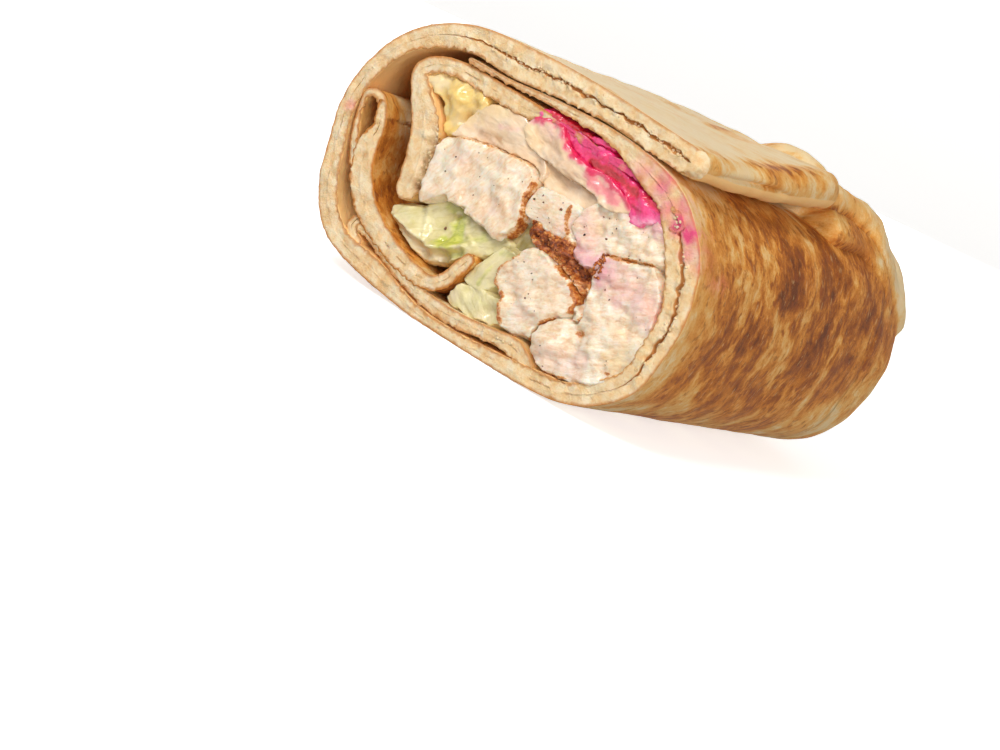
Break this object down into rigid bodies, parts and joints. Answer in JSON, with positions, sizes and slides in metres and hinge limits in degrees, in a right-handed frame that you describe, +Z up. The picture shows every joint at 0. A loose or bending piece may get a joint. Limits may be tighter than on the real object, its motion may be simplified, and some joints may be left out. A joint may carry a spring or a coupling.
{
  "type": "shish taouk wrap half",
  "caption": "Half of a toasted flatbread wrap with its end folded shut, cut across to show diced grilled chicken, lettuce, cabbage and pink pickled turnip.",
  "frame": {"origin": "under the middle of the wrap half, at the centre of the bounding box's underside, on the surface it lies on", "axes": "+Z up through the wide flap; -Y out of the cut face; +Y towards the folded end; +X towards the browned side that the flap's rim overhangs"},
  "size_m": [0.0862, 0.085, 0.0514],
  "materials": {
    "bread": "cream flatbread crumb under a thin skin toasted golden brown in streaks and spots",
    "chicken": "moist cooked chicken breast, fibrous, with a thin garlic sauce",
    "chicken_brown": "charred and browned chicken edge",
    "lettuce": "wet yellow-green lettuce",
    "lettuce_pale": "pale wet lettuce rib",
    "lettuce_dark": "olive lettuce in shade",
    "lettuce_yellow": "yellow crumpled lettuce heart",
    "cabbage": "cream cabbage with a wet gloss",
    "cabbage_pink": "cream cabbage stained pink by the pickle",
    "pickle": "magenta pickled turnip, wet"
  },
  "bodies": {
    "root": {"flatbread": "bread", "chicken_left": "chicken", "chicken_middle": "chicken", "chicken_centre": "chicken", "chicken_browned": "chicken_brown", "chicken_lower": "chicken", "chicken_right": "chicken", "lettuce_leaf": "lettuce", "lettuce_rib": "lettuce_pale", "lettuce_back": "lettuce_dark", "lettuce_shred": "lettuce_pale", "lettuce_yellow": "lettuce_yellow", "cabbage_strip": "cabbage", "cabbage_petal": "cabbage_pink", "cabbage_core": "cabbage", "pickled_turnip": "pickle", "pickle_shred": "pickle"}
  },
  "joints": []
}
